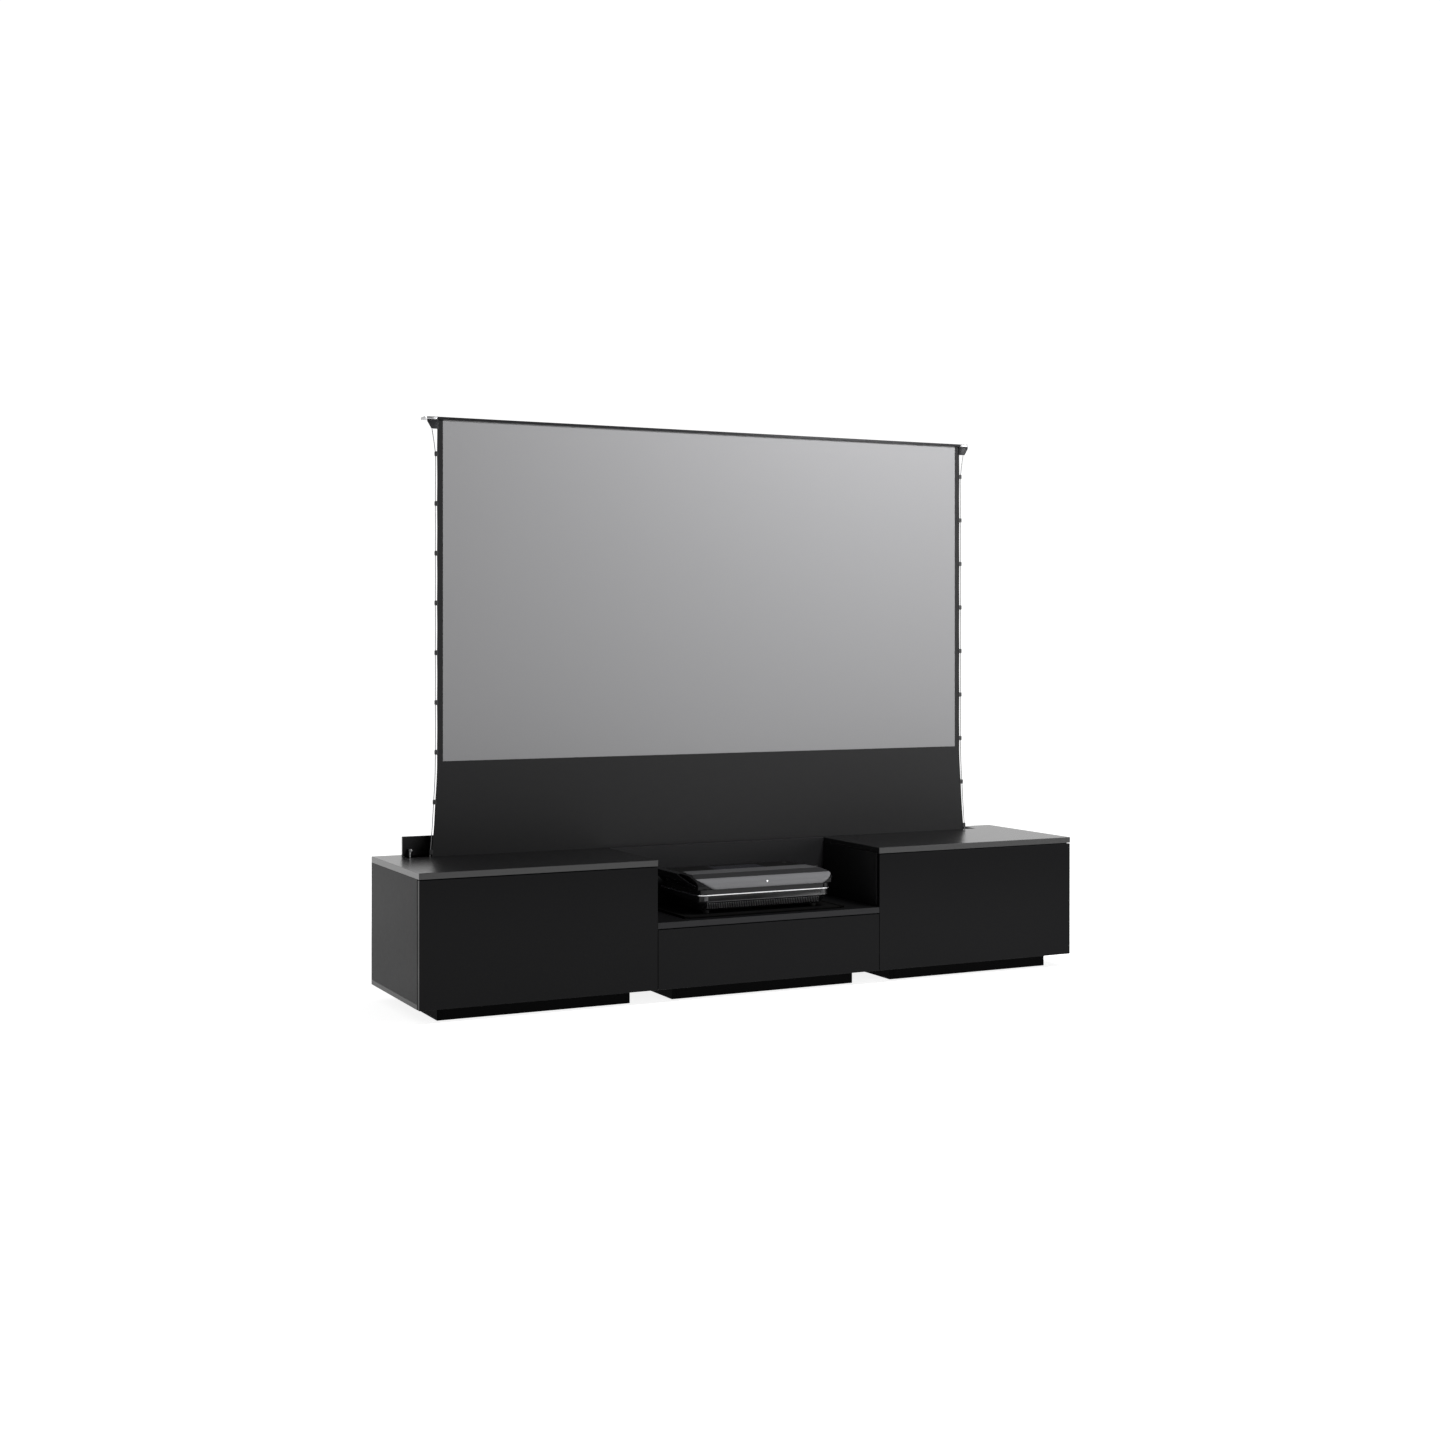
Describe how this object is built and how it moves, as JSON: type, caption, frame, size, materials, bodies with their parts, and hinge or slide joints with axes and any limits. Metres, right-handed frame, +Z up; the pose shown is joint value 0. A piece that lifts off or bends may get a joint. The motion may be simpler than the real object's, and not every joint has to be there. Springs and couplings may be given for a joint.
{
  "type": "projector console with rising screen",
  "caption": "Low black media console with a laser projector on a tray in its niche and a motorised tensioned screen on folding arms rising from a slot in its top.",
  "frame": {"origin": "on the floor, at the centre of the cabinet's footprint", "axes": "+X to the right as the viewer faces the screen, +Y from the doors to the rear, +Z up"},
  "size_m": [2.69, 0.57, 2.1144],
  "materials": {
    "laminate": "matt black laminate on board",
    "gloss_front": "high gloss black",
    "inner_board": "matt black",
    "black_steel": "matt black powder coat",
    "silver": "satin anodised",
    "dark_aluminium": "matt black anodised",
    "steel": "zinc plated",
    "screen_grey": "matt grey projection surface",
    "screen_black": "matt black masking",
    "cord": "pale braided cord",
    "black_plastic": "fine texture",
    "case_gloss": "piano black",
    "hood_grey": "satin graphite",
    "top_grey": "fine matt texture",
    "window": "coated glass",
    "lens_black": "black anodised",
    "mirror": "coated",
    "board_green": "solder mask",
    "rubber": "soft"
  },
  "bodies": {
    "cabinet": {"left_top_board": "laminate", "right_top_board": "laminate", "centre_top_rails": "laminate", "left_outer_side": "laminate", "right_outer_side": "laminate", "inner_side_panels": "laminate", "bottom_boards": "laminate", "centre_shelf": "laminate", "bay_panels": "inner_board", "rear_panels": "inner_board", "power_inlet": "black_plastic", "plinths": "laminate", "door_hinges": "steel", "push_latch_bodies": "black_plastic", "drawer_runners": "steel", "tray_runners": "black_steel", "screen_housing": "dark_aluminium", "roller_motor": "black_steel", "roller_bearing": "black_plastic", "viewing_fabric": "screen_grey", "black_masking": "screen_black", "tension_cords": "cord", "edge_clips": "black_plastic", "lift_base": "black_steel", "lid_hinge_leaves": "steel", "lid_actuator": "black_steel"},
    "left_flap": {"left_door": "gloss_front"},
    "right_flap": {"right_door": "gloss_front"},
    "left_plunger": {"left_latch_plunger": "black_plastic"},
    "right_plunger": {"right_latch_plunger": "black_plastic"},
    "drawer_plunger": {"drawer_latch_plunger": "black_plastic"},
    "drawer": {"drawer_front": "gloss_front", "drawer_box": "inner_board", "drawer_slides": "steel"},
    "projector": {"projector_tray": "black_steel", "tray_slides": "steel", "projector_base": "case_gloss", "projector_trim": "silver", "projector_upper_case": "case_gloss", "projector_hood": "hood_grey", "projector_top_plate": "top_grey", "lens_window": "window", "intake_grille": "black_plastic", "projection_lens": "lens_black", "curved_mirror": "mirror", "light_engine": "lens_black", "main_board": "board_green", "fan_frame": "black_plastic", "projector_feet": "rubber"},
    "fan": {"fan_rotor": "black_plastic"},
    "button": {"power_button": "silver"},
    "left_lower_link": {"lower_arm_left": "dark_aluminium"},
    "left_upper_link": {"upper_arm_left": "dark_aluminium"},
    "right_lower_link": {"lower_arm_right": "dark_aluminium"},
    "right_upper_link": {"upper_arm_right": "dark_aluminium"},
    "screen_bar": {"top_bar": "dark_aluminium", "bar_fittings": "silver"},
    "roller": {"roller_tube": "dark_aluminium"},
    "lid": {"screen_lid": "laminate"},
    "link": {"lid_link": "silver"}
  },
  "joints": [
    {"name": "left_flap_hinge", "type": "hinge", "parent": "cabinet", "child": "left_flap", "pos_m": [-0.9025, -0.276, 0.059], "axis": [1, 0, 0], "range_deg": [0, 88]},
    {"name": "right_flap_hinge", "type": "hinge", "parent": "cabinet", "child": "right_flap", "pos_m": [0.9025, -0.276, 0.059], "axis": [1, 0, 0], "range_deg": [0, 88]},
    {"name": "drawer_slide", "type": "slide", "parent": "cabinet", "child": "drawer", "axis": [0, -1, 0], "range_m": [0, 0.3]},
    {"name": "tray_slide", "type": "slide", "parent": "cabinet", "child": "projector", "axis": [0, -1, 0], "range_m": [0, 0.16]},
    {"name": "left_plunger_slide", "type": "slide", "parent": "cabinet", "child": "left_plunger", "axis": [0, 1, 0], "range_m": [0, 0.003], "stiffness_N_per_m": 300, "springref_m": -0.004},
    {"name": "right_plunger_slide", "type": "slide", "parent": "cabinet", "child": "right_plunger", "axis": [0, 1, 0], "range_m": [0, 0.003], "stiffness_N_per_m": 300, "springref_m": -0.004},
    {"name": "drawer_plunger_slide", "type": "slide", "parent": "cabinet", "child": "drawer_plunger", "axis": [0, 1, 0], "range_m": [0, 0.003], "stiffness_N_per_m": 300, "springref_m": -0.004},
    {"name": "button_press", "type": "slide", "parent": "projector", "child": "button", "axis": [0, 0, -1], "range_m": [0, 0.001], "stiffness_N_per_m": 500, "springref_m": -0.002},
    {"name": "fan_spin", "type": "hinge", "parent": "projector", "child": "fan", "pos_m": [0.242, 0.058, 0.358], "axis": [1, 0, 0], "continuous": true},
    {"name": "lift", "type": "hinge", "parent": "cabinet", "child": "left_lower_link", "pos_m": [-0.1, 0.219, 0.175], "axis": [0, -1, 0], "range_deg": [0, 71.5], "deforming": ["viewing_fabric", "black_masking", "tension_cords", "edge_clips"]},
    {"name": "left_elbow", "type": "hinge", "parent": "left_lower_link", "child": "left_upper_link", "pos_m": [-0.26843, 0.202, 1.13019], "axis": [0, -1, 0], "range_deg": [-143.1, 0]},
    {"name": "bar_pivot", "type": "hinge", "parent": "left_upper_link", "child": "screen_bar", "pos_m": [-0.1, 0.202, 2.08537], "axis": [0, -1, 0], "range_deg": [0, 71.6]},
    {"name": "right_shoulder", "type": "hinge", "parent": "cabinet", "child": "right_lower_link", "pos_m": [0.1, 0.219, 0.175], "axis": [0, 1, 0], "range_deg": [0, 71.6]},
    {"name": "right_elbow", "type": "hinge", "parent": "right_lower_link", "child": "right_upper_link", "pos_m": [0.26843, 0.202, 1.13019], "axis": [0, 1, 0], "range_deg": [-143.1, 0]},
    {"name": "roller_spin", "type": "hinge", "parent": "cabinet", "child": "roller", "pos_m": [0, 0.213, 0.11], "axis": [1, 0, 0], "range_deg": [0, 3075.5]},
    {"name": "lid_hinge", "type": "hinge", "parent": "cabinet", "child": "lid", "pos_m": [0, 0.2505, 0.515], "axis": [1, 0, 0], "range_deg": [0, 6]},
    {"name": "link_pin", "type": "hinge", "parent": "lid", "child": "link", "pos_m": [-1.218, 0.227, 0.536], "axis": [1, 0, 0], "range_deg": [-6.1, 0]}
  ],
  "couplings": [
    {"joint": "left_elbow", "follows": "lift", "ratio": -2},
    {"joint": "bar_pivot", "follows": "lift", "ratio": 1},
    {"joint": "right_shoulder", "follows": "lift", "ratio": 1},
    {"joint": "right_elbow", "follows": "lift", "ratio": -2},
    {"joint": "roller_spin", "follows": "lift", "ratio": 43},
    {"joint": "link_pin", "follows": "lid_hinge", "ratio": -1}
  ]
}
